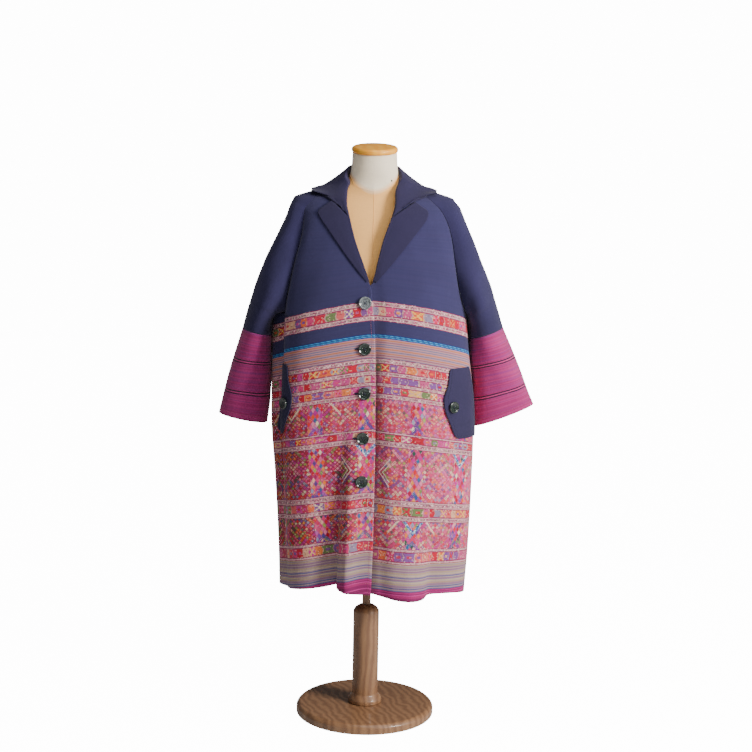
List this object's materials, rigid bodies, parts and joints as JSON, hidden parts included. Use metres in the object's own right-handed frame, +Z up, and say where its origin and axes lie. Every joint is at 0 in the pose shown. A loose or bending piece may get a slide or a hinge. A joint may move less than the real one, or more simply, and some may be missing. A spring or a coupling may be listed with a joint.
{
  "type": "knee-length woven coat on a limbless dress form with a wooden stand",
  "caption": "Knee-length A-line coat with notched collar, raglan sleeves, button front and pocket flaps, shown on a limbless dress form with a neck cap and a wooden stand.",
  "frame": {"origin": "centre of the stand base's flat underside, on the floor", "axes": "+Z up, -Y towards the viewer in front of the coat, +X towards the wearer's left"},
  "size_m": [0.746, 0.33, 1.3621],
  "materials": {
    "woven_cloth": "matte patterned weave",
    "navy_cloth": "matte plain weave",
    "magenta_cloth": "matte striped weave",
    "shell": "glossy, like shell or horn",
    "linen": "matte linen cover",
    "pale_wood": "satin varnish",
    "brown_wood": "satin varnish"
  },
  "bodies": {
    "root": {"front_right": "woven_cloth", "front_left": "woven_cloth", "back": "woven_cloth", "sleeve_right": "navy_cloth", "sleeve_left": "navy_cloth", "cuff_right": "magenta_cloth", "cuff_left": "magenta_cloth", "lapel_right": "navy_cloth", "lapel_left": "navy_cloth", "collar": "navy_cloth", "flap_right": "navy_cloth", "flap_left": "navy_cloth", "button_1": "shell", "button_2": "shell", "button_3": "shell", "button_4": "shell", "button_5": "shell", "flap_button_right": "shell", "flap_button_left": "shell", "form_torso": "linen", "neck_cap": "pale_wood", "stand_pole": "brown_wood", "stand_column": "brown_wood", "stand_base": "brown_wood"}
  },
  "joints": []
}
